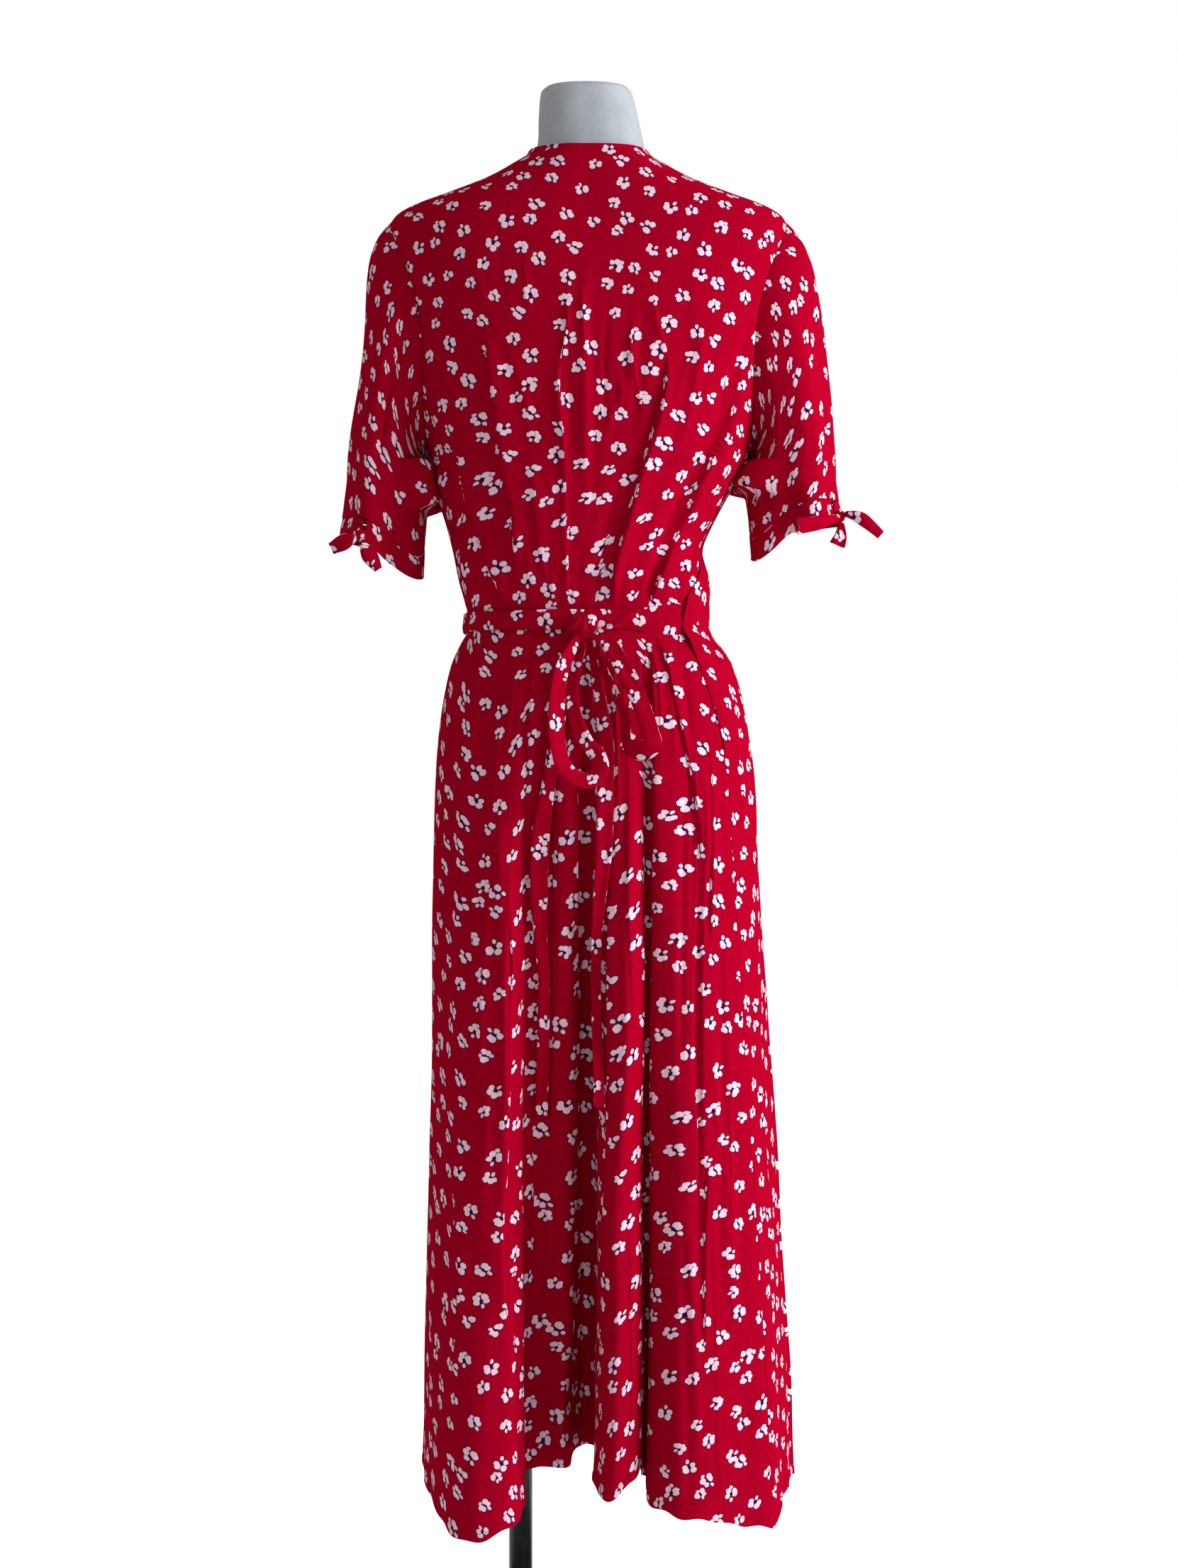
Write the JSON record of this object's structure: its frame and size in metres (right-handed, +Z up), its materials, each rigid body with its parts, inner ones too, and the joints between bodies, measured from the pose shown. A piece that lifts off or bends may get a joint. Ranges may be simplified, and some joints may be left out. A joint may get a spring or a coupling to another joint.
{
  "type": "wrap dress on a limbless dress form with stand",
  "caption": "Midi wrap dress with elbow sleeves, tied cuffs and a waist tie in a bow behind, worn by a limbless form on a pole and a round foot.",
  "frame": {"origin": "centre of the round foot's underside, on the floor", "axes": "+Z up along the pole, +Y towards the wearer's front, +X towards the wearer's right side"},
  "size_m": [0.5147, 0.34, 1.514],
  "materials": {
    "printed_crepe": "matt crepe",
    "form_jersey": "ribbed jersey over a hard shell",
    "black_steel": "black enamel"
  },
  "bodies": {
    "root": {"bodice_back": "printed_crepe", "bodice_front_right": "printed_crepe", "bodice_front_left": "printed_crepe", "skirt_back": "printed_crepe", "skirt_front_right": "printed_crepe", "skirt_front_left": "printed_crepe", "sleeve_right": "printed_crepe", "sleeve_left": "printed_crepe", "cuff_band_right": "printed_crepe", "cuff_band_left": "printed_crepe", "tie_left_run": "printed_crepe", "tie_right_run": "printed_crepe", "bow_knot": "printed_crepe", "bow_left_loop": "printed_crepe", "bow_right_loop": "printed_crepe", "tie_left_tail": "printed_crepe", "tie_right_tail": "printed_crepe", "cuff_knot_right": "printed_crepe", "cuff_tie_right_1": "printed_crepe", "cuff_tie_right_2": "printed_crepe", "cuff_tie_right_3": "printed_crepe", "cuff_knot_left": "printed_crepe", "cuff_tie_left_1": "printed_crepe", "cuff_tie_left_2": "printed_crepe", "form_torso": "form_jersey", "pole_collar": "black_steel", "pole": "black_steel", "pole_socket": "black_steel", "stand_foot": "black_steel"}
  },
  "joints": []
}
